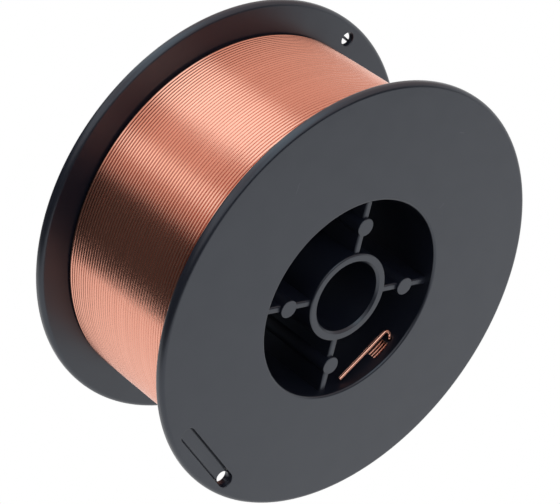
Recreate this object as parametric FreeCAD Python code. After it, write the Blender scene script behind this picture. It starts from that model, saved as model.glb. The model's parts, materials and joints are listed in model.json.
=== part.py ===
"""Welding wire on a small moulded spool: the spool body and the wire wound on it.

The axis of the spool lies along Y and Z points up, so the spool rests on the rims of its two
flanges. The origin is on the axis, half-way between the flange faces. The front is at -Y.
Lengths are in millimetres and angles in degrees, counted from +X towards +Z.
"""
import FreeCAD, Part
import math
import os

from FreeCAD import Vector

# Spool: the standard small size, with its bore for the wire feeder's spindle
FLANGE_RADIUS = 50.0
SPOOL_WIDTH = 45.0
BORE_RADIUS = 8.25
FLANGE_THICKNESS = 2.4
RIM_ROUND = 1.0

# Barrel that the wire is wound on
BARREL_RADIUS = 25.5
BARREL_WALL = 2.1
BARREL_LIP_ROUND = 0.6

# Hub tube in the middle, set back from the flange faces
HUB_WALL = 2.15
HUB_SETBACK = 1.2
HUB_ROUND = 0.4
BORE_CHAMFER = 0.5

# Four ribs that carry the hub, each with a round post part of the way out
RIB_COUNT = 4
RIB_ANGLE = 74.3
RIB_WIDTH = 1.7
RIB_ROUND = 0.5
RIB_SETBACK = 1.8
POST_RADIUS = 2.05
POST_OUT_FROM_HUB = 6.3
POST_ROUND = 0.15

# Straight pocket in each flange's outer face where a wire end is hooked, with a hole at one end
POCKET_INSET = 4.2
POCKET_HOLE_INSET = 3.6
POCKET_WIDTH = 3.5
POCKET_DEPTH = 1.2
POCKET_HOLE_RADIUS = 1.6
POCKET_HOLE_ANGLE = 222.5
POCKET_SWEEP = 24.5
BLADE_WIDTH = 0.5
BLADE_LENGTH = 2.8

# Window in the barrel beside the front flange, and the hole that the wire starts through
WINDOW_ANGLE = -61.6
WINDOW_SWEEP = 11.0
WINDOW_LENGTH = 3.9
START_HOLE_ANGLE = -53.5
START_HOLE_CLEARANCE = 0.2
START_HOLE_INSET = 0.7

# Wire and its winding
WIRE_DIAMETER = 0.8
BARE_RIM = 7.1
GROOVE_HALF_ANGLE = 45.0
BARREL_CLEARANCE = 0.05

# Start of the wire, inside the barrel: how far in from the barrel wall it lies and where it ends
TAIL_GAP = 0.4
TAIL_ANGLE = -92.0
TAIL_END_INSET = 0.3
BEND_ANGLE = -47.6
BEND_GAP = 0.6
BEND_INSET = 1.8
BEND_RADIUS = 0.72
EXIT_DEPTH = 0.3
EXIT_RADIUS = 0.55

HALF_WIDTH = SPOOL_WIDTH / 2
INNER_FACE = HALF_WIDTH - FLANGE_THICKNESS
RECESS_RADIUS = BARREL_RADIUS - BARREL_WALL
HUB_RADIUS = BORE_RADIUS + HUB_WALL
POST_PLACE = HUB_RADIUS + POST_OUT_FROM_HUB
POCKET_PLACE = FLANGE_RADIUS - POCKET_INSET
POCKET_HOLE_PLACE = FLANGE_RADIUS - POCKET_HOLE_INSET
START_HOLE_RADIUS = WIRE_DIAMETER / 2 + START_HOLE_CLEARANCE
WINDING_RADIUS = FLANGE_RADIUS - BARE_RIM
WINDING_BORE = BARREL_RADIUS + BARREL_CLEARANCE
TURNS = int(2 * INNER_FACE / WIRE_DIAMETER)
LAYERS = int((WINDING_RADIUS - WINDING_BORE) / (WIRE_DIAMETER * math.sqrt(3) / 2))
AXIS = Vector(0, 1, 0)
CENTRE = Vector(0, 0, 0)


def polar(radius, angle, y):
    """The point at a radius and an angle about the axis."""
    turn = math.radians(angle)
    return Vector(radius * math.cos(turn), y, radius * math.sin(turn))


def rounded_wire(corners, closed=True):
    """A wire through corners given as (point, radius), each corner turned by an arc."""
    count = len(corners)
    edges = []
    last_end = None
    first_start = None
    for index, (point, radius) in enumerate(corners):
        is_end = not closed and index in (0, count - 1)
        if radius == 0 or is_end:
            start, end, arc = point, point, None
        else:
            before = (corners[index - 1][0] - point).normalize()
            after = (corners[(index + 1) % count][0] - point).normalize()
            half = before.getAngle(after) / 2
            reach = radius / math.tan(half)
            start = point + before * reach
            end = point + after * reach
            middle = (before + after).normalize()
            top = point + middle * (radius / math.sin(half) - radius)
            arc = Part.Arc(start, top, end).toShape()
        if last_end is not None:
            edges.append(Part.makeLine(last_end, start))
        else:
            first_start = start
        if arc:
            edges.append(arc)
        last_end = end
    if closed:
        edges.append(Part.makeLine(last_end, first_start))
    return Part.Wire(edges)


def turned(section):
    """The solid turned about the axis from (radius, y, corner radius) points."""
    corners = [(Vector(radius, y, 0), corner) for radius, y, corner in section]
    return Part.Face(rounded_wire(corners)).revolve(CENTRE, AXIS, 360)


def flanges_and_barrel():
    """Both flanges and the barrel between them, as one turned section."""
    return turned([
        (RECESS_RADIUS, -HALF_WIDTH, BARREL_LIP_ROUND),
        (FLANGE_RADIUS, -HALF_WIDTH, RIM_ROUND),
        (FLANGE_RADIUS, -INNER_FACE, RIM_ROUND),
        (BARREL_RADIUS, -INNER_FACE, 0),
        (BARREL_RADIUS, INNER_FACE, 0),
        (FLANGE_RADIUS, INNER_FACE, RIM_ROUND),
        (FLANGE_RADIUS, HALF_WIDTH, RIM_ROUND),
        (RECESS_RADIUS, HALF_WIDTH, BARREL_LIP_ROUND),
    ])


def hub():
    """The hub tube, without its bore."""
    face = HALF_WIDTH - HUB_SETBACK
    return turned([(0, -face, 0), (HUB_RADIUS, -face, HUB_ROUND), (HUB_RADIUS, face, HUB_ROUND), (0, face, 0)])


def bore():
    """The bore to cut, with a chamfer at both ends of the hub."""
    face = HALF_WIDTH - HUB_SETBACK
    mouth = BORE_RADIUS + BORE_CHAMFER
    return turned([
        (0, -HALF_WIDTH, 0),
        (mouth, -HALF_WIDTH, 0),
        (mouth, -face, 0),
        (BORE_RADIUS, BORE_CHAMFER - face, 0),
        (BORE_RADIUS, face - BORE_CHAMFER, 0),
        (mouth, face, 0),
        (mouth, HALF_WIDTH, 0),
        (0, HALF_WIDTH, 0),
    ])


def rib(angle):
    """One rib from inside the hub wall into the barrel wall, with its round post."""
    start = (BORE_RADIUS + BORE_CHAMFER + HUB_RADIUS) / 2
    length = RECESS_RADIUS + BARREL_WALL / 2 - start
    reach = HALF_WIDTH - RIB_SETBACK
    side = RIB_WIDTH / 2
    corners = [(-side, -reach), (-side, reach), (side, reach), (side, -reach)]
    outline = rounded_wire([(Vector(start, y, z), RIB_ROUND) for z, y in corners])
    plate = Part.Face(outline).extrude(Vector(length, 0, 0))
    face = HALF_WIDTH - HUB_SETBACK
    post = turned([(0, -face, 0), (POST_RADIUS, -face, POST_ROUND), (POST_RADIUS, face, POST_ROUND), (0, face, 0)])
    post.translate(Vector(POST_PLACE, 0, 0))
    piece = plate.fuse(post)
    piece.rotate(CENTRE, AXIS, -angle)
    return piece


def sector(inner, outer, angle, sweep, y_start, y_end):
    """A block between two radii, centred on an angle about the axis."""
    section = Part.makePolygon([
        Vector(inner, y_start, 0),
        Vector(outer, y_start, 0),
        Vector(outer, y_end, 0),
        Vector(inner, y_end, 0),
        Vector(inner, y_start, 0),
    ])
    block = Part.Face(section).revolve(CENTRE, AXIS, -sweep)
    block.rotate(CENTRE, AXIS, sweep / 2 - angle)
    return block


def pocket(side):
    """The hooking pocket and hole to cut from the front (-1) or the back (+1) flange."""
    hole_angle = POCKET_HOLE_ANGLE if side < 0 else POCKET_HOLE_ANGLE - 180
    half = POCKET_WIDTH / 2
    floor = side * (HALF_WIDTH - POCKET_DEPTH)
    open_end = side * (HALF_WIDTH + 1)
    low = min(floor, open_end)
    height = abs(open_end - floor)
    near = polar(POCKET_HOLE_PLACE, hole_angle, low)
    far = polar(POCKET_PLACE, hole_angle - POCKET_SWEEP, low)
    run = far - near
    slot = Part.makeBox(run.Length, height, POCKET_WIDTH, Vector(0, 0, -half))
    slot.rotate(CENTRE, AXIS, -math.degrees(math.atan2(run.z, run.x)))
    slot.translate(near)
    for end in (near, far):
        slot = slot.fuse(Part.makeCylinder(half, height, end, AXIS))
    inside = side * (INNER_FACE - 1)
    base = polar(POCKET_HOLE_PLACE, hole_angle, min(inside, open_end))
    hole = Part.makeCylinder(POCKET_HOLE_RADIUS, abs(open_end - inside), base, AXIS)
    return slot.fuse(hole)


def clamp_blade():
    """The slim blade that stands in the back pocket and reaches over its hole."""
    angle = POCKET_HOLE_ANGLE - 180
    floor = HALF_WIDTH - POCKET_DEPTH
    blade = Part.makeBox(BLADE_LENGTH, POCKET_DEPTH, BLADE_WIDTH, Vector(0, floor, -BLADE_WIDTH / 2))
    blade.rotate(CENTRE, AXIS, 90 - angle)
    blade.translate(polar(POCKET_HOLE_PLACE, angle, 0))
    return blade


def barrel_openings():
    """The window and the wire's start hole to cut from the barrel wall."""
    inner = RECESS_RADIUS - 1
    outer = WINDING_BORE
    window = sector(inner, outer, WINDOW_ANGLE, WINDOW_SWEEP, -INNER_FACE, WINDOW_LENGTH - INNER_FACE)
    base = polar(inner, START_HOLE_ANGLE, START_HOLE_INSET - INNER_FACE)
    outwards = polar(1, START_HOLE_ANGLE, 0)
    hole = Part.makeCylinder(START_HOLE_RADIUS, outer - inner, base, outwards)
    return window.fuse(hole)


def spool_body():
    """The whole moulding."""
    body = flanges_and_barrel().fuse(hub())
    for index in range(RIB_COUNT):
        body = body.fuse(rib(RIB_ANGLE + index * 360 / RIB_COUNT))
    for cut in (bore(), pocket(-1), pocket(1), barrel_openings()):
        body = body.cut(cut)
    return body.fuse(clamp_blade()).removeSplitter()


def ridges(start, end, count, out):
    """A run of round ridges from start to end, as edges, each standing out by part of its wire.

    Each ridge is the arc within GROOVE_HALF_ANGLE of its top, and short flats join the ridges.
    """
    step = (end - start) / count
    radius = WIRE_DIAMETER / 2
    half = step.normalize() * radius * math.sin(math.radians(GROOVE_HALF_ANGLE))
    rise = out * radius * (1 - math.cos(math.radians(GROOVE_HALF_ANGLE)))
    step = (end - start) / count
    edges = []
    last = start
    for index in range(count):
        middle = start + step * (index + 0.5)
        edges.append(Part.makeLine(last, middle - half))
        edges.append(Part.Arc(middle - half, middle + rise, middle + half).toShape())
        last = middle + half
    edges.append(Part.makeLine(last, end))
    return edges


def bevels(start, end, count, rise):
    """A run of straight-sided ridges from start to end, as edges: up to each top and down again."""
    step = (end - start) / count
    points = [start]
    for index in range(count):
        points.append(start + step * (index + 0.5) + rise)
        points.append(start + step * (index + 1))
    return Part.makePolygon(points).Edges


def winding():
    """The wound wire as one turned ring: its turns show on the outside, its layers on both ends."""
    groove = WIRE_DIAMETER / 2 * (1 - math.cos(math.radians(GROOVE_HALF_ANGLE)))
    half_width = TURNS * WIRE_DIAMETER / 2 - groove
    outside = WINDING_RADIUS - groove
    front_in = Vector(WINDING_BORE, -half_width, 0)
    front_out = Vector(outside, -half_width, 0)
    back_out = Vector(outside, half_width, 0)
    back_in = Vector(WINDING_BORE, half_width, 0)
    edges = bevels(front_in, front_out, LAYERS, Vector(0, -groove, 0))
    edges += ridges(front_out, back_out, TURNS, Vector(1, 0, 0))
    edges += bevels(back_out, back_in, LAYERS, Vector(0, groove, 0))
    edges.append(Part.makeLine(back_in, front_in))
    return Part.Face(Part.Wire(edges)).revolve(CENTRE, AXIS, 360)


def tail():
    """The start of the wire: in through its hole, aside, round a bend and back along the barrel."""
    wire_radius = WIRE_DIAMETER / 2
    root = polar(BARREL_RADIUS + wire_radius, START_HOLE_ANGLE, START_HOLE_INSET - INNER_FACE)
    inside = polar(RECESS_RADIUS - EXIT_DEPTH, START_HOLE_ANGLE, START_HOLE_INSET - INNER_FACE)
    bend = polar(RECESS_RADIUS - wire_radius - BEND_GAP, BEND_ANGLE, BEND_INSET - INNER_FACE)
    tip = polar(RECESS_RADIUS - wire_radius - TAIL_GAP, TAIL_ANGLE, TAIL_END_INSET - INNER_FACE)
    path = rounded_wire([(root, 0), (inside, EXIT_RADIUS), (bend, BEND_RADIUS), (tip, 0)], closed=False)
    section = Part.Wire(Part.makeCircle(wire_radius, root, inside - root))
    return path.makePipeShell([section], True, False)


def welding_wire():
    """The wire, wound and with its start, as the one length that it is."""
    return winding().fuse(tail())


os.makedirs("parts", exist_ok=True)
for name, build in (("spool_body", spool_body), ("welding_wire", welding_wire)):
    shape = build()
    if len(shape.Solids) != 1:
        raise ValueError(f"{name} is {len(shape.Solids)} solids")
    shape.Solids[0].exportStep(f"parts/{name}.step")
    print(name, "volume", round(shape.Volume), "box", shape.BoundBox)
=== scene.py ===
"""Welding wire on a small moulded spool: its surfaces, finishes and studio, laid out as an add-on.

The spool's axis lies along Y and Z points up. The frame's origin is on the axis, half-way between
the flange faces, and the front is at -Y. Angles about the axis are counted from +X towards +Z.
"""
import json
import math

import bmesh
import bpy
import numpy as np
from bpy.props import FloatProperty, FloatVectorProperty, IntProperty, PointerProperty
from mathutils import Matrix, Vector


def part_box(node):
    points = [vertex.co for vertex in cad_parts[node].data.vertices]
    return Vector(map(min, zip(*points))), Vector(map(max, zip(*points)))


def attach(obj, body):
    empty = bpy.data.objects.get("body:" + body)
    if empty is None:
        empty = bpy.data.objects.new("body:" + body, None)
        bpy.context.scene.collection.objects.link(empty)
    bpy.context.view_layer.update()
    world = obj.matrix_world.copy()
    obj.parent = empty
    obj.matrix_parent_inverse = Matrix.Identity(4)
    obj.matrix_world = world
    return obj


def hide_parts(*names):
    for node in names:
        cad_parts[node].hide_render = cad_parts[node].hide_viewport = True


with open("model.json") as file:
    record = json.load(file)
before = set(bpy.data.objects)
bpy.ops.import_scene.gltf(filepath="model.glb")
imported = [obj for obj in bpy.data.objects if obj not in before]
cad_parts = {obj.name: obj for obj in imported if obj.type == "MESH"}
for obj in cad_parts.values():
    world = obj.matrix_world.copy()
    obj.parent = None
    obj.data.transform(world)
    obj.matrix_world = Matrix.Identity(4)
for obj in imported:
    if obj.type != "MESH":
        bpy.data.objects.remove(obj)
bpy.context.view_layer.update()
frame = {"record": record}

bl_info = {
    "name": "Welding wire spool",
    "version": (1, 0, 0),
    "blender": (4, 5, 0),
    "location": "3D View > Sidebar > Wire Spool",
    "description": "Builds a moulded spool wound with copper-coated welding wire, and its studio",
    "category": "Add Mesh",
}

SPOOL_LOW, SPOOL_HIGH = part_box("spool_body")
WIRE_LOW, WIRE_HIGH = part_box("welding_wire")
HUB_BORE = next(m for m in frame["record"]["mounts"] if m["name"] == "hub_bore")
MM = 0.001
# How far a cutter stands past the surface that it opens
OVER = 0.5 * MM
# The spool's axis, and a direction square to it
ALONG_AXIS = np.array([0, 1.0, 0])
ASIDE = np.array([1.0, 0, 0])


def length(name, description, default):
    """A size in metres."""
    return FloatProperty(name=name, description=description, default=default, unit="LENGTH", precision=5)


def turn(name, description, degrees):
    """An angle about the axis."""
    return FloatProperty(name=name, description=description, default=math.radians(degrees), subtype="ANGLE")


def colour(name, description, default):
    """A colour as the surface reflects it."""
    return FloatVectorProperty(name=name, description=description, default=default, subtype="COLOR", size=3)


class SpoolSizes(bpy.types.PropertyGroup):
    """Sizes of the moulding."""
    flange_radius: length("Flange radius", "Radius of both flanges", SPOOL_HIGH.x)
    half_width: length("Half width", "From the middle to a flange's outer face", SPOOL_HIGH.y)
    flange_thickness: length("Flange thickness", "Thickness of each flange", 2.4 * MM)
    rim_round: length("Rim round", "Rounding of the flanges' rims", 1.0 * MM)
    barrel_radius: length("Barrel radius", "Radius that the wire is wound on", 25.5 * MM)
    barrel_wall: length("Barrel wall", "Thickness of the barrel's wall", 2.1 * MM)
    lip_round: length("Lip round", "Rounding where the recess meets a flange's face", 0.6 * MM)
    bore_radius: length("Bore radius", "Radius of the hub's bore", HUB_BORE["dims"]["r_mm"] * MM)
    hub_radius: length("Hub radius", "Outer radius of the hub tube", 10.4 * MM)
    hub_setback: length("Hub setback", "From a flange's face in to the hub's face", 1.2 * MM)
    hub_round: length("Hub round", "Rounding of the hub's outer edge", 0.4 * MM)
    bore_chamfer: length("Bore chamfer", "Chamfer at the bore's mouths", 0.5 * MM)
    rib_count: IntProperty(name="Ribs", description="Ribs that carry the hub", default=4, min=2)
    rib_angle: turn("Rib angle", "Where the first rib stands", 74.3)
    rib_width: length("Rib width", "Thickness of a rib", 1.7 * MM)
    rib_setback: length("Rib setback", "From a flange's face in to a rib's edge", 1.8 * MM)
    rib_round: length("Rib round", "Rounding of a rib's edges", 0.5 * MM)
    post_radius: length("Post radius", "Radius of the round post on each rib", 2.05 * MM)
    post_place: length("Post place", "From the axis out to a post", 16.7 * MM)
    post_round: length("Post round", "Rounding of a post's ends", 0.15 * MM)
    pocket_place: length("Pocket place", "From the axis to the middle of a pocket's plain end", 45.8 * MM)
    hole_place: length("Hole place", "From the axis to the middle of a pocket's hole", 46.4 * MM)
    pocket_width: length("Pocket width", "Width of a hooking pocket", 3.5 * MM)
    pocket_depth: length("Pocket depth", "Depth of a hooking pocket", 1.2 * MM)
    pocket_round: length("Pocket round", "Rounding along a pocket's mouth", 0.2 * MM)
    pocket_fillet: length("Pocket fillet", "Fillet where a pocket's wall meets its floor", 0.95 * MM)
    pocket_sweep: turn("Pocket sweep", "How far a pocket runs round the flange", 24.5)
    hole_radius: length("Hole radius", "Radius of the hole in a pocket", 1.6 * MM)
    hole_round: length("Hole round", "Rounding of the hole's inner edge", 0.2 * MM)
    hole_angle: turn("Hole angle", "Where the front pocket's hole is", 222.5)
    blade_width: length("Blade width", "Thickness of the blade in the back pocket", 0.5 * MM)
    blade_length: length("Blade length", "Length of the blade in the back pocket", 2.8 * MM)
    window_angle: turn("Window angle", "Middle of the barrel's window", -61.6)
    window_sweep: turn("Window sweep", "How far the window runs round the barrel", 11.0)
    window_length: length("Window length", "The window's length along the axis", 3.9 * MM)
    window_round: length("Window round", "Rounding of the window's corners", 0.3 * MM)
    start_hole_angle: turn("Start hole angle", "Where the wire enters the barrel", -53.5)
    start_hole_radius: length("Start hole radius", "Radius of the wire's start hole", 0.6 * MM)
    start_hole_inset: length("Start hole inset", "From the flange's inner face to the hole", 0.7 * MM)


class WireSizes(bpy.types.PropertyGroup):
    """Sizes of the wire and its winding."""
    diameter: length("Wire diameter", "Diameter of the wire", 0.8 * MM)
    turns: IntProperty(name="Turns", description="Turns side by side in a layer", default=50, min=2)
    winding_radius: length("Winding radius", "Outer radius of the winding", WIRE_HIGH.x)
    bore_clearance: length("Bore clearance", "Between the barrel and the first layer", 0.05 * MM)
    seam_angle: turn("Seam angle", "Where the outer layer starts and ends", -75.0)
    tail_gap: length("Tail gap", "Between the barrel's wall and the free end", 0.4 * MM)
    tail_angle: turn("Tail angle", "Where the free end is", -92.0)
    tail_inset: length("Tail inset", "From the flange's inner face to the free end", 0.3 * MM)
    bend_angle: turn("Bend angle", "Where the wire bends towards its hole", -47.6)
    bend_gap: length("Bend gap", "Between the barrel's wall and the bend", 0.6 * MM)
    bend_inset: length("Bend inset", "From the flange's inner face to the bend", 1.8 * MM)
    bend_radius: length("Bend radius", "Radius of the bend", 0.72 * MM)
    exit_depth: length("Exit depth", "How far past the barrel's wall the wire comes straight in", 0.3 * MM)
    exit_radius: length("Exit radius", "Radius of the turn where the wire has come in", 0.55 * MM)


class SpoolFinishes(bpy.types.PropertyGroup):
    """Colours of the materials."""
    plastic: colour("Plastic", "Black moulded plastic", (0.0045, 0.0060, 0.0130))
    dust: colour("Dust", "Dust and scuffs on the plastic", (0.30, 0.30, 0.31))
    copper: colour("Copper", "Bright copper coat", (0.85, 0.41, 0.305))
    copper_dull: colour("Dull copper", "Copper where it is a little tarnished", (0.66, 0.29, 0.205))


class StudioSettings(bpy.types.PropertyGroup):
    """The camera, the lamps and what reflections show."""
    azimuth: turn("Azimuth", "Camera's direction about Z, from -Y", -38.96)
    elevation: turn("Elevation", "Camera's height above the level", 35.7)
    distance: length("Distance", "From the camera to the spool's middle", 516.5 * MM)
    aside: length("Aside", "How far the view's middle is left of the spool's", 1.0 * MM)
    lens: FloatProperty(name="Lens", description="Focal length in millimetres on a 36 mm sensor",
                        default=153.2)
    key_power: FloatProperty(name="Key power", description="Power of the soft light overhead", default=4.0,
                             unit="POWER")
    fill: FloatProperty(name="Fill", description="Strength of the even light from all round", default=0.55)
    flag_radius: length("Flag radius", "Radius of the dark flag's curve", 0.23)
    flag_x: length("Flag X", "The middle of the flag's curve along X", 0.035)
    flag_y: length("Flag Y", "The middle of the flag's curve along Y", -0.030)
    flag_height: length("Flag height", "Height of the dark flag", 0.17)
    flag_start: turn("Flag start", "Where the flag starts, from +X about Z", 97.0)
    flag_end: turn("Flag end", "Where the flag ends, from +X about Z", 325.0)
    canopy_radius: length("Canopy radius", "Radius of the pale canopy that reflections show", 0.6)
    canopy_length: length("Canopy length", "The canopy's length along Y", 3.0)


# ---------------------------------------------------------------- shapes as arrays

def polar(radius, angle, y):
    """Points at a radius and an angle about the axis, and a place along it: (r cos a, y, r sin a)."""
    return np.stack(np.broadcast_arrays(radius * np.cos(angle), y, radius * np.sin(angle)), axis=-1)


def rounded_outline(corners, radii, steps=6):
    """A closed outline through 2-D corners, each turned by an arc of its radius."""
    corners = np.asarray(corners, float)
    before = np.roll(corners, 1, axis=0) - corners
    after = np.roll(corners, -1, axis=0) - corners
    before /= np.linalg.norm(before, axis=1, keepdims=True)
    after /= np.linalg.norm(after, axis=1, keepdims=True)
    half = np.arccos(np.clip((before * after).sum(1), -1, 1)) / 2
    pieces = []
    for corner, radius, to_before, to_after, h in zip(corners, radii, before, after, half):
        pieces.append(corner_arc(corner, to_before, to_after, h, radius, steps) if radius else corner[None])
    return np.concatenate(pieces)


def corner_arc(corner, to_before, to_after, half, radius, steps):
    """The arc that turns one corner, from its foot on the first side to its foot on the second.

    For a corner with half angle h, the arc's centre lies r / sin h along the bisector, and each
    foot lies r / tan h along its side.
    """
    centre = corner + (to_before + to_after) / np.linalg.norm(to_before + to_after) * radius / math.sin(half)
    foot = corner + to_before * radius / math.tan(half) - centre
    other = corner + to_after * radius / math.tan(half) - centre
    span = math.pi - 2 * half
    share = np.linspace(0, 1, steps + 1)[:, None]
    return centre + (np.sin((1 - share) * span) * foot + np.sin(share * span) * other) / math.sin(span)


def divided(outline, longest):
    """A closed outline whose long sides have points put in, so that none is over a length."""
    following = np.roll(outline, -1, axis=0)
    counts = np.ceil(np.linalg.norm(following - outline, axis=1) / longest).astype(int).clip(1)
    sides = zip(outline, following, counts)
    return np.concatenate([a + (b - a) * np.arange(n)[:, None] / n for a, b, n in sides])


def grid_faces(rows, columns, wrap_rows, wrap_columns):
    """Quads between neighbouring points of a grid, going round where it wraps."""
    i = np.arange(rows if wrap_rows else rows - 1)[:, None]
    j = np.arange(columns if wrap_columns else columns - 1)[None, :]
    down = (i + 1) % rows
    right = (j + 1) % columns
    quads = [i * columns + j, down * columns + j, down * columns + right, i * columns + right]
    return np.stack(np.broadcast_arrays(*quads), axis=-1).reshape(-1, 4)


def faces_out(points, faces):
    """Whether quads face away from the points' origin: the volume under them, as a sum of a . (b x c)."""
    a, b, c, d = (points[faces[:, k]] for k in range(4))
    return (np.cross(b - a, c - a) * a).sum() + (np.cross(c - a, d - a) * a).sum() > 0


def turned(outline, segments):
    """A closed outline of (radius, y) points carried once round the axis."""
    angles = np.linspace(0, 2 * math.pi, segments, endpoint=False)[:, None]
    points = polar(outline[None, :, 0], angles, outline[None, :, 1]).reshape(-1, 3)
    faces = grid_faces(segments, len(outline), True, True)
    return points, (faces if faces_out(points, faces) else faces[:, ::-1]).tolist()


def lofted(rings):
    """Closed rings joined one to the next, with a flat face over each end."""
    count, across = rings.shape[:2]
    points = rings.reshape(-1, 3)
    faces = grid_faces(count, across, False, True)
    first = np.arange(across)
    last = first + (count - 1) * across
    if not faces_out(points - points.mean(axis=0), faces):
        faces, first, last = faces[:, ::-1], first[::-1], last[::-1]
    return points, faces.tolist() + [first.tolist(), last[::-1].tolist()]


def mesh_object(name, points, faces, sharp=40.0):
    """A mesh object from points and faces, smooth but for edges sharper than an angle."""
    mesh = bpy.data.meshes.new(name)
    mesh.from_pydata(points.tolist(), [], faces)
    mesh.polygons.foreach_set("use_smooth", np.ones(len(mesh.polygons), bool))
    mesh.set_sharp_from_angle(angle=math.radians(sharp))
    mesh.update()
    obj = bpy.data.objects.new(name, mesh)
    bpy.context.scene.collection.objects.link(obj)
    return obj


def carve(obj, operation, tools, name):
    """The object joined with, or cut by, every tool in turn, as a new mesh. The tools are spent."""
    group = bpy.data.collections.new(name)
    bpy.context.scene.collection.children.link(group)
    for tool in tools:
        bpy.context.scene.collection.objects.unlink(tool)
        group.objects.link(tool)
    modifier = obj.modifiers.new(name, "BOOLEAN")
    modifier.operation = operation
    modifier.operand_type = "COLLECTION"
    modifier.collection = group
    modifier.solver = "EXACT"
    settle(obj)
    for tool in tools:
        bpy.data.objects.remove(tool)
    bpy.data.collections.remove(group)


def add_shell(obj, shell):
    """A closed shell that stands in the object's own material, added to its mesh. The shell is spent."""
    grown = bmesh.new()
    for part in (obj, shell):
        grown.from_mesh(part.data)
    grown.to_mesh(obj.data)
    grown.free()
    bpy.data.objects.remove(shell)


def settle(obj):
    """The object's modifiers made part of its mesh."""
    graph = bpy.context.evaluated_depsgraph_get()
    done = bpy.data.meshes.new_from_object(obj.evaluated_get(graph))
    obj.modifiers.clear()
    obj.data = done


# ---------------------------------------------------------------- the moulding

def flange_and_barrel_outline(s):
    """Half the section through both flanges and the barrel, as (radius, y)."""
    inner = s.half_width - s.flange_thickness
    recess = s.barrel_radius - s.barrel_wall
    corners = [
        (recess, -s.half_width), (s.flange_radius, -s.half_width), (s.flange_radius, -inner),
        (s.barrel_radius, -inner), (s.barrel_radius, inner), (s.flange_radius, inner),
        (s.flange_radius, s.half_width), (recess, s.half_width),
    ]
    rim, lip = s.rim_round, s.lip_round
    return divided(rounded_outline(corners, [lip, rim, rim, 0, 0, rim, rim, lip], 8), 3 * MM)


def hub_outline(s):
    """The section through the hub tube's wall, as (radius, y)."""
    face = s.half_width - s.hub_setback
    mouth = s.bore_radius + s.bore_chamfer
    corners = [
        (mouth, -face), (s.hub_radius, -face), (s.hub_radius, face), (mouth, face),
        (s.bore_radius, face - s.bore_chamfer), (s.bore_radius, s.bore_chamfer - face),
    ]
    soft = 0.12 * MM
    return rounded_outline(corners, [soft, s.hub_round, s.hub_round, soft, soft, soft], 5)


def rib_rings(s, angle):
    """A rib's rounded section carried straight out from the hub's wall into the barrel's."""
    reach = s.half_width - s.rib_setback
    side = s.rib_width / 2
    corners = [(-side, -reach), (side, -reach), (side, reach), (-side, reach)]
    section = rounded_outline(corners, [s.rib_round] * 4, 5)
    out = np.array([math.cos(angle), 0, math.sin(angle)])
    across = np.array([-math.sin(angle), 0, math.cos(angle)])
    start = (s.bore_radius + s.bore_chamfer + s.hub_radius) / 2
    end = s.barrel_radius - s.barrel_wall / 2
    ring = section[:, :1] * across + section[:, 1:] * ALONG_AXIS
    return np.stack([ring + out * start, ring + out * end])


def disc_rings(centre, axis, side, radii, heights, segments=48):
    """Circles of the given radii at the given heights along an axis through a centre."""
    other = np.cross(axis, side)
    angles = np.linspace(0, 2 * math.pi, segments, endpoint=False)[None, :, None]
    radii = np.asarray(radii)[:, None, None]
    heights = np.asarray(heights)[:, None, None]
    return centre + heights * axis + radii * (np.cos(angles) * side + np.sin(angles) * other)


def quarter(radius, steps):
    """Sine and one minus cosine of a quarter turn, scaled by a radius."""
    angles = np.linspace(0, math.pi / 2, steps + 1)
    return radius * np.sin(angles), radius * (1 - np.cos(angles))


def post_rings(s, angle):
    """A round post on a rib, its ends lightly rounded."""
    face = s.half_width - s.hub_setback
    out, down = quarter(s.post_round, 3)
    radii = s.post_radius - s.post_round + out
    heights = -face + down
    centre = polar(s.post_place, angle, 0.0)
    radii = np.concatenate([radii, radii[::-1]])
    heights = np.concatenate([heights, -heights[::-1]])
    return disc_rings(centre, ALONG_AXIS, ASIDE, radii, heights)


def pocket_ring(s, hole_angle, grow, y, steps=20):
    """The outline of a pocket at one depth: a straight, round-ended slot, its half width grown a little.

    Half a circle goes round the far end's centre, and the other half goes round the hole's.
    """
    half = s.pocket_width / 2 + grow
    near = polar(s.hole_place, hole_angle, y)
    far = polar(s.pocket_place, hole_angle - s.pocket_sweep, y)
    along = (far - near) / np.linalg.norm(far - near)
    across = np.array([-along[2], 0, along[0]])
    angles = np.linspace(-math.pi / 2, math.pi / 2, steps)[:, None]
    cap = half * (np.cos(angles) * along + np.sin(angles) * across)
    return np.concatenate([far + cap, near - cap])


def pocket_rings(s, side):
    """A pocket to cut from the front (-1) or back (+1) flange, round-edged at its mouth and floor."""
    hole_angle = s.hole_angle if side < 0 else s.hole_angle - math.pi
    out, down = quarter(1.0, 5)
    mouth, fillet = s.pocket_round, s.pocket_fillet
    grows = np.concatenate([[mouth], mouth - mouth * out, -fillet * down])
    depths = np.concatenate([[-OVER], mouth * down, s.pocket_depth - fillet + fillet * out])
    return np.stack([pocket_ring(s, hole_angle, g, side * (s.half_width - d)) for g, d in zip(grows, depths)])


def hole_rings(s, side):
    """The round hole through a flange at the pocket's end."""
    hole_angle = s.hole_angle if side < 0 else s.hole_angle - math.pi
    inner = s.half_width - s.flange_thickness
    out, down = quarter(s.hole_round, 4)
    mouth = s.hole_radius + s.hole_round
    radii = np.concatenate([[mouth], mouth - out, [s.hole_radius]])
    heights = np.concatenate([[inner - OVER], inner + down, [s.half_width + OVER]])
    centre = polar(s.hole_place, hole_angle, 0.0)
    return disc_rings(centre, ALONG_AXIS, ASIDE, radii, side * heights)


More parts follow.
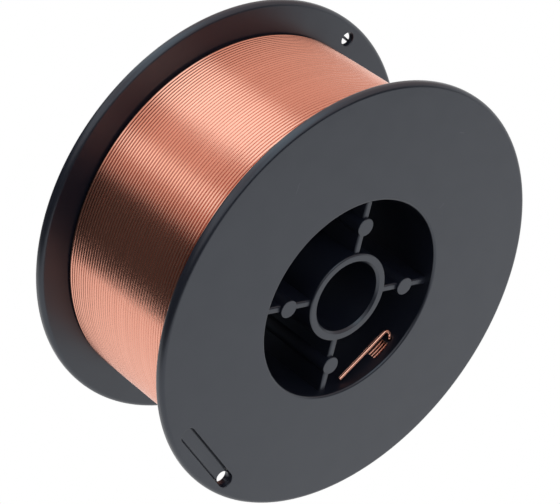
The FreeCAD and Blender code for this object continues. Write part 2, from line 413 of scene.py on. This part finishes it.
def window_rings(s):
    """The barrel's window: a rounded rectangle in angle and y, carried out past the wall."""
    inner = s.half_width - s.flange_thickness
    middle = s.barrel_radius
    half = s.window_sweep * middle / 2
    clear_of_flange = 0.05 * MM
    near, far = clear_of_flange - inner, s.window_length - inner
    corners = [(-half, near), (half, near), (half, far), (-half, far)]
    outline = rounded_outline(corners, [s.window_round] * 4, 4)
    angles = s.window_angle + outline[:, 0] / middle
    radii = (s.barrel_radius - s.barrel_wall - 2 * OVER, s.barrel_radius + OVER)
    return np.stack([polar(radius, angles, outline[:, 1]) for radius in radii])


def start_hole_rings(s):
    """The wire's round hole through the barrel's wall."""
    y = s.start_hole_inset + s.flange_thickness - s.half_width
    out = polar(1.0, s.start_hole_angle, 0.0)
    heights = (s.barrel_radius - s.barrel_wall - 2 * OVER, s.barrel_radius + OVER)
    centre = np.array([0.0, y, 0.0])
    return disc_rings(centre, out, ALONG_AXIS, [s.start_hole_radius] * 2, heights, 32)


def blade_rings(s):
    """The slim blade in the back pocket that reaches over its hole."""
    angle = s.hole_angle - math.pi
    floor = s.half_width - s.pocket_depth
    side = s.blade_width / 2
    sunk, soft = 0.1 * MM, 0.15 * MM
    corners = [(-side, floor - sunk), (side, floor - sunk), (side, s.half_width), (-side, s.half_width)]
    section = rounded_outline(corners, [0, 0, soft, soft], 3)
    out = np.array([math.cos(angle), 0, math.sin(angle)])
    along = np.array([math.sin(angle), 0, -math.cos(angle)])
    ring = section[:, :1] * out + section[:, 1:] * ALONG_AXIS
    start = out * s.hole_place
    return np.stack([ring + start, ring + start + along * s.blade_length])


def build_moulding(s):
    """The whole spool: flanges and barrel, hub, ribs and posts joined, then cut by its openings."""
    angles = [s.rib_angle + 2 * math.pi * k / s.rib_count for k in range(s.rib_count)]
    spool = mesh_object("spool_moulding", *turned(flange_and_barrel_outline(s), 288))
    added = [mesh_object("hub", *turned(hub_outline(s), 144))]
    for angle in angles:
        added.append(mesh_object("rib", *lofted(rib_rings(s, angle))))
    carve(spool, "UNION", added, "join_hub")
    posts = [mesh_object("post", *lofted(post_rings(s, angle))) for angle in angles]
    carve(spool, "UNION", posts, "join_posts")
    cuts = [mesh_object("pocket", *lofted(pocket_rings(s, side))) for side in (-1, 1)]
    cuts.append(mesh_object("window", *lofted(window_rings(s))))
    carve(spool, "DIFFERENCE", cuts, "cut_pockets")
    holes = [mesh_object("hole", *lofted(hole_rings(s, side))) for side in (-1, 1)]
    holes.append(mesh_object("start_hole", *lofted(start_hole_rings(s))))
    carve(spool, "DIFFERENCE", holes, "cut_holes")
    add_shell(spool, mesh_object("blade", *lofted(blade_rings(s))))
    spool.data.polygons.foreach_set("use_smooth", np.ones(len(spool.data.polygons), bool))
    spool.data.set_sharp_from_angle(angle=math.radians(35))
    weighting = spool.modifiers.new("flat_faces", "WEIGHTED_NORMAL")
    weighting.keep_sharp = True
    settle(spool)
    return spool


# ---------------------------------------------------------------- the wire

def wire_section(outer_steps, inner_steps):
    """Angles round the wire's section, finer on the side that faces out of the winding."""
    outer = np.linspace(-math.pi / 2, math.pi / 2, outer_steps + 1)
    inner = np.linspace(math.pi / 2, 3 * math.pi / 2, inner_steps + 1)[1:-1]
    return np.concatenate([outer, inner])


def outer_layer_rings(w, per_turn=176):
    """The outer layer as one helix of round wire, a wire's width further along each turn.

    A section's centre is at radius R - a, angle t and y = start + pitch * t / 2 pi. The layer comes
    up out of the one beneath over its first few degrees and goes back under it over its last.
    """
    radius = w.diameter / 2
    turns = w.turns - 1
    share = np.linspace(0, turns, turns * per_turn + 1)
    lead = 12 / 360
    rise = np.clip(np.minimum(share, turns - share) / lead, 0, 1)
    depth = layer_pitch(w) * 0.8 * (1 - rise * rise * (3 - 2 * rise))
    angle = w.seam_angle + 2 * math.pi * share
    y = (share - turns / 2) * w.diameter
    section = wire_section(7, 3)
    path_radius = w.winding_radius - radius - depth
    out = path_radius[:, None] + radius * np.cos(section)
    return polar(out, angle[:, None], y[:, None] + radius * np.sin(section))


def layer_pitch(w):
    """The height of one layer when its turns lie in the grooves of the layer beneath."""
    return w.diameter * math.sqrt(3) / 2


def scalloped(start, end, bulge, count, steps):
    """A run of equal half-round ridges from one point to another, standing out along bulge.

    Each ridge is a half circle: along the run it goes as 1 - cos a and out as sin a.
    """
    start, end = np.asarray(start, float), np.asarray(end, float)
    step = (end - start) / count
    angles = np.linspace(0, math.pi, steps + 1)[:-1]
    along = ((1 - np.cos(angles)) / 2)[None, :, None] + np.arange(count)[:, None, None]
    out = np.sin(angles)[None, :, None] * np.linalg.norm(step) / 2
    return (start + along * step + out * np.asarray(bulge, float)).reshape(-1, 2)


def inner_layers_outline(s, w):
    """The section through the layers beneath the outer one, as (radius, y).

    Ridges show at the bore behind the barrel's window, on both ends, and on top beside the flanges.
    """
    radius = w.diameter / 2
    edge = w.turns * radius
    bore = s.barrel_radius + w.bore_clearance
    top = w.winding_radius - layer_pitch(w)
    layers = round((top - bore) / layer_pitch(w))
    shown = 8
    beside = 3
    inset = radius * 0.6
    end = edge - inset
    low, high = bore + radius, top - radius
    run = edge - beside * w.diameter
    return np.concatenate([
        scalloped((low, shown * w.diameter - edge), (low, -end), (-1, 0), shown, 6),
        scalloped((low, -end), (high, -end), (0, -inset / radius), layers, 4),
        scalloped((high, -end), (high, -run), (1, 0), beside, 6),
        scalloped((high, run), (high, end), (1, 0), beside, 6),
        scalloped((high, end), (low, end), (0, inset / radius), layers, 4),
        [(low, end)],
    ])


def rounded_corner(before, corner, after, radius, steps):
    """The arc that turns the corner of a path through three points in space."""
    back = (before - corner) / np.linalg.norm(before - corner)
    on = (after - corner) / np.linalg.norm(after - corner)
    half = math.acos(np.clip(back @ on, -1, 1)) / 2
    return corner_arc(corner, back, on, half, radius, steps)


def tail_path(s, w):
    """The wire's start: in through its hole, aside, round a bend and straight along the barrel."""
    radius = w.diameter / 2
    inner = s.half_width - s.flange_thickness
    recess = s.barrel_radius - s.barrel_wall
    root = polar(s.barrel_radius + radius, s.start_hole_angle, s.start_hole_inset - inner)
    inside = polar(recess - w.exit_depth, s.start_hole_angle, s.start_hole_inset - inner)
    bend = polar(recess - radius - w.bend_gap, w.bend_angle, w.bend_inset - inner)
    tip = polar(recess - radius - w.tail_gap, w.tail_angle, w.tail_inset - inner)
    turn_in = rounded_corner(root, inside, bend, w.exit_radius, 8)
    turn_back = rounded_corner(inside, bend, tip, w.bend_radius, 16)
    run = np.linspace(0, 1, 24)[1:, None]
    return np.concatenate([root[None], turn_in, turn_back, turn_back[-1] + run * (tip - turn_back[-1])])


def tube_rings(path, radius, segments=24):
    """Circles round a path, each turned from the last by no more than the path itself turns.

    The first side is square to the path, and each next side is the last one less its part along
    the path there, made one long again.
    """
    along = np.gradient(path, axis=0)
    along /= np.linalg.norm(along, axis=1, keepdims=True)
    side = np.cross(along[0], (0, 1, 0))
    sides = []
    for direction in along:
        side = side - direction * (side @ direction)
        side /= np.linalg.norm(side)
        sides.append(side)
    sides = np.array(sides)
    others = np.cross(along, sides)
    angles = np.linspace(0, 2 * math.pi, segments, endpoint=False)[None, :, None]
    radius = np.broadcast_to(radius, len(path))[:, None, None]
    return path[:, None] + radius * (np.cos(angles) * sides[:, None] + np.sin(angles) * others[:, None])


def add_wire_map(obj, along, across):
    """A UV map that runs along the wire in U and round it in V, from one value for each vertex."""
    mesh = obj.data
    corners = np.empty(len(mesh.loops), np.int32)
    mesh.loops.foreach_get("vertex_index", corners)
    layer = mesh.uv_layers.new(name="WireMap")
    pairs = np.stack([along[corners], across[corners]], axis=-1)
    layer.data.foreach_set("uv", pairs.astype(np.float32).ravel())


def build_outer_layer(w):
    """The outer layer of wire, mapped along its length."""
    rings = outer_layer_rings(w)
    wire = mesh_object("wire_outer_layer", *lofted(rings), sharp=60)
    turn_length = 2 * math.pi * w.winding_radius
    along = np.repeat(np.linspace(0, (w.turns - 1) * turn_length, len(rings)), rings.shape[1])
    across = np.tile(np.linspace(0, 1, rings.shape[1]) * w.diameter * math.pi, len(rings))
    add_wire_map(wire, along, across)
    return wire


def build_inner_layers(s, w):
    """The layers beneath, as one turned ring with its bore."""
    outline = inner_layers_outline(s, w)
    ring = mesh_object("wire_inner_layers", *turned(outline, 160), sharp=60)
    points = np.array([v.co for v in ring.data.vertices])
    add_wire_map(ring, np.arctan2(points[:, 2], points[:, 0]) * w.winding_radius, points[:, 1])
    return ring


def build_wire_start(s, w):
    """The wire's start inside the barrel, with a lightly rounded cut end."""
    path = tail_path(s, w)
    radius = w.diameter / 2
    on = (path[-1] - path[-2]) / np.linalg.norm(path[-1] - path[-2])
    cut_round = 0.08 * MM
    out, down = quarter(cut_round, 3)
    path = np.concatenate([path[:-1], path[-1] - on * cut_round + out[:, None] * on])
    radii = np.concatenate([np.full(len(path) - len(down), radius), radius - down])
    rings = tube_rings(path, radii)
    tail = mesh_object("wire_start", *lofted(rings), sharp=50)
    gone = np.concatenate([[0], np.cumsum(np.linalg.norm(np.diff(path, axis=0), axis=1))])
    around = np.linspace(0, 1, rings.shape[1]) * w.diameter * math.pi
    add_wire_map(tail, np.repeat(gone, rings.shape[1]), np.tile(around, len(rings)))
    return tail


# ---------------------------------------------------------------- materials

def new_material(name):
    """An empty node material and its node tree."""
    material = bpy.data.materials.new(name)
    material.use_nodes = True
    tree = material.node_tree
    tree.nodes.clear()
    return material, tree


def add_node(tree, kind, **values):
    """A node with the given settings, and input values where a name is an input's."""
    node = tree.nodes.new(kind)
    for name, value in values.items():
        if name in node.inputs:
            node.inputs[name].default_value = value
        else:
            setattr(node, name, value)
    return node


def maths(tree, operation, first, second=None):
    """A maths node's result, from sockets or plain numbers."""
    node = add_node(tree, "ShaderNodeMath", operation=operation)
    for slot, value in enumerate((first, second)):
        if value is None:
            continue
        if isinstance(value, (int, float)):
            node.inputs[slot].default_value = value
        else:
            tree.links.new(value, node.inputs[slot])
    return node.outputs[0]


def ramp(tree, factor, stops):
    """A colour ramp with the given places and grey levels or colours."""
    node = add_node(tree, "ShaderNodeValToRGB")
    tree.links.new(factor, node.inputs["Fac"])
    elements = node.color_ramp.elements
    while len(elements) < len(stops):
        elements.new(0.5)
    for element, (place, value) in zip(elements, stops):
        element.position = place
        element.color = (*value, 1) if isinstance(value, tuple) else (value, value, value, 1)
    return node.outputs["Color"]


def mix_colours(tree, factor, first, second):
    """Two colours mixed by a factor; each is a socket or a plain colour."""
    node = add_node(tree, "ShaderNodeMix", data_type="RGBA")
    for socket, value in ((node.inputs[0], factor), (node.inputs[6], first), (node.inputs[7], second)):
        if isinstance(value, bpy.types.NodeSocket):
            tree.links.new(value, socket)
        else:
            socket.default_value = value if isinstance(value, float) else (*value, 1)
    return node.outputs[2]


def noise(tree, vector, scale, detail=3.0, roughness=0.5):
    """A noise texture's factor."""
    node = add_node(tree, "ShaderNodeTexNoise", Scale=scale, Detail=detail, Roughness=roughness)
    tree.links.new(vector, node.inputs["Vector"])
    return node.outputs["Fac"]


def scratch(tree, place, start, end, y, width):
    """1 along a fine straight scratch on a flange's face, falling to 0 over its width.

    It is one minus the distance from the line between two (x, z) points, over the width.
    """
    run = np.linalg.norm(end - start)
    along = (end - start) / run
    moved = add_node(tree, "ShaderNodeVectorMath", operation="SUBTRACT")
    tree.links.new(place, moved.inputs[0])
    moved.inputs[1].default_value = (start[0], y, start[1])
    reach = []
    for direction in ((along[0], 0, along[1]), (-along[1], 0, along[0]), (0, 1, 0)):
        dot = add_node(tree, "ShaderNodeVectorMath", operation="DOT_PRODUCT")
        tree.links.new(moved.outputs[0], dot.inputs[0])
        dot.inputs[1].default_value = direction
        reach.append(dot.outputs["Value"])
    past_end = maths(tree, "SUBTRACT", reach[0], float(run))
    beyond = maths(tree, "MAXIMUM", past_end, maths(tree, "MULTIPLY", reach[0], -1.0))
    beyond = maths(tree, "MAXIMUM", beyond, 0.0)
    off = maths(tree, "ADD", maths(tree, "ABSOLUTE", reach[1]), maths(tree, "ABSOLUTE", reach[2]))
    far = maths(tree, "DIVIDE", maths(tree, "ADD", beyond, off), width)
    return maths(tree, "MAXIMUM", maths(tree, "SUBTRACT", 1.0, far), 0.0)


# Fine scratches on the front flange's face, from one (x, z) to another in millimetres
SCRATCHES = [
    ((-15.3, 33.7), (-14.5, 35.9)),
    ((24.2, 13.1), (25.4, 13.9)),
    ((29.0, 30.3), (30.2, 29.7)),
]


def plastic_material(f, s):
    """Black moulded plastic: satin, faintly mottled, with dust specks and a few fine scratches."""
    material, tree = new_material("black_moulded_plastic")
    out = add_node(tree, "ShaderNodeOutputMaterial")
    shader = add_node(tree, "ShaderNodeBsdfPrincipled", IOR=1.7, **{"Specular Tint": (0.84, 0.90, 1.0, 1.0)})
    tree.links.new(shader.outputs[0], out.inputs[0])
    place = add_node(tree, "ShaderNodeTexCoord").outputs["Object"]
    mottle = noise(tree, place, 180.0, 4.0)
    grain = noise(tree, place, 5200.0, 2.0)
    specks = add_node(tree, "ShaderNodeTexVoronoi", Scale=330.0, Randomness=1.0)
    tree.links.new(place, specks.inputs["Vector"])
    sparse = ramp(tree, noise(tree, place, 95.0, 1.0), [(0.66, 0.0), (0.74, 1.0)])
    dots = ramp(tree, specks.outputs["Distance"], [(0.0, 1.0), (0.055, 0.0)])
    dust = maths(tree, "MULTIPLY", sparse, dots)
    front = -s.half_width
    marks = None
    for start, end in np.array(SCRATCHES) * MM:
        line = scratch(tree, place, start, end, front, 0.09 * MM)
        marks = line if marks is None else maths(tree, "MAXIMUM", marks, line)
    worn = maths(tree, "MAXIMUM", maths(tree, "MULTIPLY", dust, 0.5), maths(tree, "MULTIPLY", marks, 0.16))
    base = mix_colours(tree, mottle, tuple(c * 0.92 for c in f.plastic), tuple(c * 1.08 for c in f.plastic))
    tree.links.new(mix_colours(tree, worn, base, tuple(f.dust)), shader.inputs["Base Color"])
    tree.links.new(ramp(tree, mottle, [(0.3, 0.30), (0.7, 0.37)]), shader.inputs["Roughness"])
    bump = add_node(tree, "ShaderNodeBump", Strength=0.06, Distance=0.00002)
    tree.links.new(grain, bump.inputs["Height"])
    tree.links.new(bump.outputs[0], shader.inputs["Normal"])
    return material


def wire_material(f):
    """Drawn steel wire with a bright copper coat: fine lines along it and slightly dull stretches."""
    material, tree = new_material("copper_coated_wire")
    out = add_node(tree, "ShaderNodeOutputMaterial")
    shader = add_node(tree, "ShaderNodeBsdfPrincipled", Metallic=1.0)
    tree.links.new(shader.outputs[0], out.inputs[0])
    wire = add_node(tree, "ShaderNodeUVMap", uv_map="WireMap").outputs[0]
    stretch = add_node(tree, "ShaderNodeMapping")
    tree.links.new(wire, stretch.inputs["Vector"])
    stretch.inputs["Scale"].default_value = (60.0, 9000.0, 1.0)
    lines = noise(tree, stretch.outputs[0], 1.0, 2.0)
    slow = add_node(tree, "ShaderNodeMapping")
    tree.links.new(wire, slow.inputs["Vector"])
    slow.inputs["Scale"].default_value = (9.0, 120.0, 1.0)
    dull = ramp(tree, noise(tree, slow.outputs[0], 1.0, 3.0), [(0.40, 0.0), (0.75, 0.35)])
    coat = mix_colours(tree, dull, tuple(f.copper), tuple(f.copper_dull))
    tree.links.new(coat, shader.inputs["Base Color"])
    tree.links.new(ramp(tree, lines, [(0.3, 0.15), (0.7, 0.21)]), shader.inputs["Roughness"])
    bump = add_node(tree, "ShaderNodeBump", Strength=0.01, Distance=0.00001)
    tree.links.new(lines, bump.inputs["Height"])
    tree.links.new(bump.outputs[0], shader.inputs["Normal"])
    return material


def seen_as_white(tree, unseen, out):
    """The unseen shader for light that falls on things, and plain white where it is seen or mirrored."""
    path = add_node(tree, "ShaderNodeLightPath")
    direct = maths(tree, "MAXIMUM", path.outputs["Is Camera Ray"], path.outputs["Is Glossy Ray"])
    direct = maths(tree, "MAXIMUM", direct, path.outputs["Is Transmission Ray"])
    white = add_node(tree, "ShaderNodeEmission", Strength=1.0)
    mix = add_node(tree, "ShaderNodeMixShader")
    tree.links.new(direct, mix.inputs[0])
    tree.links.new(unseen.outputs[0], mix.inputs[1])
    tree.links.new(white.outputs[0], mix.inputs[2])
    tree.links.new(mix.outputs[0], out.inputs[0])


def background_material(name, tone):
    """A pale diffuse surface that shadows fall on, and that shows as white between them."""
    material, tree = new_material(name)
    out = add_node(tree, "ShaderNodeOutputMaterial")
    seen_as_white(tree, add_node(tree, "ShaderNodeBsdfDiffuse", Color=(tone, tone, tone, 1)), out)
    return material


def flag_material(height):
    """The dark flag: nearly black up to just under its top, and pale at its very edge."""
    material, tree = new_material("dark_flag")
    out = add_node(tree, "ShaderNodeOutputMaterial")
    glow = add_node(tree, "ShaderNodeEmission", Strength=1.0)
    place = add_node(tree, "ShaderNodeTexCoord").outputs["Object"]
    parts = add_node(tree, "ShaderNodeSeparateXYZ")
    tree.links.new(place, parts.inputs[0])
    up = maths(tree, "DIVIDE", maths(tree, "SUBTRACT", parts.outputs["Z"], SPOOL_LOW.z), float(height))
    tree.links.new(ramp(tree, up, [(0.0, 0.055), (0.88, 0.065), (1.0, 0.7)]), glow.inputs["Color"])
    tree.links.new(glow.outputs[0], out.inputs[0])
    return material


def canopy_material():
    """The canopy: an even warm grey with two bright strips along it, placed by the angle about Y.

    The angle from the top, towards +X, is atan2(x, z), and the ramp's places count it in degrees.
    """
    even = (0.38, 0.31, 0.285)
    wide = (0.67, 0.77, 0.80)
    narrow = (0.59, 0.64, 0.65)
    strips = [(-90, even), (-50, even), (-46, narrow), (-38, narrow), (-34, even), (-18, even),
              (-12, wide), (14, wide), (20, even)]
    material, tree = new_material("canopy")
    out = add_node(tree, "ShaderNodeOutputMaterial")
    glow = add_node(tree, "ShaderNodeEmission", Strength=2.0)
    parts = add_node(tree, "ShaderNodeSeparateXYZ")
    tree.links.new(add_node(tree, "ShaderNodeTexCoord").outputs["Object"], parts.inputs[0])
    angle = maths(tree, "ARCTAN2", parts.outputs["X"], parts.outputs["Z"])
    share = maths(tree, "ADD", maths(tree, "DIVIDE", angle, math.pi), 0.5)
    tree.links.new(ramp(tree, share, [((a + 90) / 180, c) for a, c in strips]), glow.inputs["Color"])
    tree.links.new(glow.outputs[0], out.inputs[0])
    return material


# ---------------------------------------------------------------- operators

def only_mirrored(obj):
    """A piece of the studio that lights nothing and shows in reflections alone."""
    obj.visible_camera = False
    obj.visible_diffuse = False
    obj.visible_shadow = False


def finish_piece(obj, node, material):
    """The piece given its material, set on the model's body and put in a CAD node's place."""
    obj.data.materials.clear()
    obj.data.materials.append(material)
    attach(obj, "root")
    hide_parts(node)


class SPOOL_OT_moulding(bpy.types.Operator):
    """Build the spool's moulding"""
    bl_idname = "spool.moulding"
    bl_label = "Spool moulding"

    def execute(self, context):
        sizes = context.scene.spool_sizes
        spool = build_moulding(sizes)
        material = plastic_material(context.scene.spool_finishes, sizes)
        finish_piece(spool, "spool_body", material)
        return {"FINISHED"}


class SPOOL_OT_wire(bpy.types.Operator):
    """Build the wound wire and its start"""
    bl_idname = "spool.wire"
    bl_label = "Welding wire"

    def execute(self, context):
        sizes, wire = context.scene.spool_sizes, context.scene.wire_sizes
        material = wire_material(context.scene.spool_finishes)
        pieces = (build_outer_layer(wire), build_inner_layers(sizes, wire), build_wire_start(sizes, wire))
        for piece in pieces:
            finish_piece(piece, "welding_wire", material)
        return {"FINISHED"}


def add_area(name, place, target, size, power):
    """A square soft light at a place, facing a target."""
    lamp = bpy.data.lights.new(name, "AREA")
    lamp.size = size
    lamp.energy = power
    obj = bpy.data.objects.new(name, lamp)
    obj.visible_glossy = False
    bpy.context.scene.collection.objects.link(obj)
    obj.location = place
    obj.rotation_euler = (Vector(target) - Vector(place)).to_track_quat("-Z", "Y").to_euler()
    return obj


class SPOOL_OT_studio(bpy.types.Operator):
    """Set up the camera, the lamps, the floor and what reflections show"""
    bl_idname = "spool.studio"
    bl_label = "Studio"

    def execute(self, context):
        studio = context.scene.studio_settings
        self.add_camera(context, studio)
        self.add_world(context, studio)
        corners = np.array([(x, y, SPOOL_LOW.z) for x, y in ((-3, -3), (3, -3), (3, 3), (-3, 3))])
        floor = mesh_object("studio_floor", corners, [[0, 1, 2, 3]])
        floor.data.materials.append(background_material("studio_floor", 0.82))
        self.add_flag(studio)
        self.add_canopy(studio)
        add_area("overhead", (-0.1, 0.55, 0.75), (0, 0, 0), 0.7, studio.key_power)
        add_area("front", (0.1, -0.8, 0.6), (0, 0, 0), 0.7, studio.key_power * 0.6)
        context.scene.view_settings.view_transform = "Standard"
        return {"FINISHED"}

    def add_camera(self, context, studio):
        """The camera on its line of sight, level, with the spool's middle just off the view's."""
        a, e = studio.azimuth, studio.elevation
        back = Vector((math.sin(a) * math.cos(e), -math.cos(a) * math.cos(e), math.sin(e)))
        right = Vector((math.cos(a), math.sin(a), 0))
        up = back.cross(right)
        data = bpy.data.cameras.new("view")
        data.sensor_width = 36
        data.lens = studio.lens
        data.clip_start = 0.01
        camera = bpy.data.objects.new("view", data)
        context.scene.collection.objects.link(camera)
        camera.matrix_world = Matrix.Translation(back * studio.distance - right * studio.aside) @ Matrix(
            (right, up, back)).transposed().to_4x4()
        context.scene.camera = camera

    def add_world(self, context, studio):
        """An even light all round, and white where it is seen or mirrored."""
        world = bpy.data.worlds.new("studio_world")
        world.use_nodes = True
        tree = world.node_tree
        tree.nodes.clear()
        even = add_node(tree, "ShaderNodeBackground", Strength=studio.fill, Color=(1, 1, 1, 1))
        seen_as_white(tree, even, add_node(tree, "ShaderNodeOutputWorld"))
        context.scene.world = world

    def add_flag(self, studio):
        """A curved dark screen, nearest on the spool's left, which only reflections show."""
        angles = np.linspace(studio.flag_start, studio.flag_end, 90)[:, None]
        heights = np.array([0.001, studio.flag_height])[None, :] + SPOOL_LOW.z
        x = studio.flag_x + studio.flag_radius * np.cos(angles)
        y = studio.flag_y + studio.flag_radius * np.sin(angles)
        points = np.stack(np.broadcast_arrays(x, y, heights), axis=-1).reshape(-1, 3)
        flag = mesh_object("dark_flag", points, grid_faces(len(angles), 2, False, False).tolist())
        flag.data.materials.append(flag_material(studio.flag_height))
        only_mirrored(flag)

    def add_canopy(self, studio):
        """A pale half-round canopy along Y with two bright strips in it, which only reflections show."""
        angles = np.radians(np.linspace(-78, 78, 80))[:, None]
        y = np.array([-0.5, 0.5])[None, :] * studio.canopy_length
        points = polar(studio.canopy_radius, math.pi / 2 - angles, y).reshape(-1, 3)
        canopy = mesh_object("canopy", points, grid_faces(len(angles), 2, False, False).tolist())
        canopy.data.materials.append(canopy_material())
        only_mirrored(canopy)


class SPOOL_PT_panel(bpy.types.Panel):
    """The spool's pieces, sizes and finishes"""
    bl_idname = "SPOOL_PT_panel"
    bl_label = "Welding wire spool"
    bl_space_type = "VIEW_3D"
    bl_region_type = "UI"
    bl_category = "Wire Spool"

    def draw(self, context):
        layout = self.layout
        for name in ("spool.moulding", "spool.wire", "spool.studio"):
            layout.operator(name)
        for group in ("spool_sizes", "wire_sizes", "spool_finishes", "studio_settings"):
            box = layout.box()
            values = getattr(context.scene, group)
            for name in values.__annotations__:
                box.prop(values, name)


GROUPS = {
    "spool_sizes": SpoolSizes,
    "wire_sizes": WireSizes,
    "spool_finishes": SpoolFinishes,
    "studio_settings": StudioSettings,
}
CLASSES = (*GROUPS.values(), SPOOL_OT_moulding, SPOOL_OT_wire, SPOOL_OT_studio, SPOOL_PT_panel)


def register():
    """Register the classes and hang the settings on the scene."""
    for cls in CLASSES:
        bpy.utils.register_class(cls)
    for name, group in GROUPS.items():
        setattr(bpy.types.Scene, name, PointerProperty(type=group))


def unregister():
    """Take the settings and the classes away again."""
    for name in GROUPS:
        delattr(bpy.types.Scene, name)
    for cls in reversed(CLASSES):
        bpy.utils.unregister_class(cls)


def main():
    """Build everything."""
    register()
    bpy.ops.spool.moulding()
    bpy.ops.spool.wire()
    bpy.ops.spool.studio()


if __name__ == "__main__":
    main()
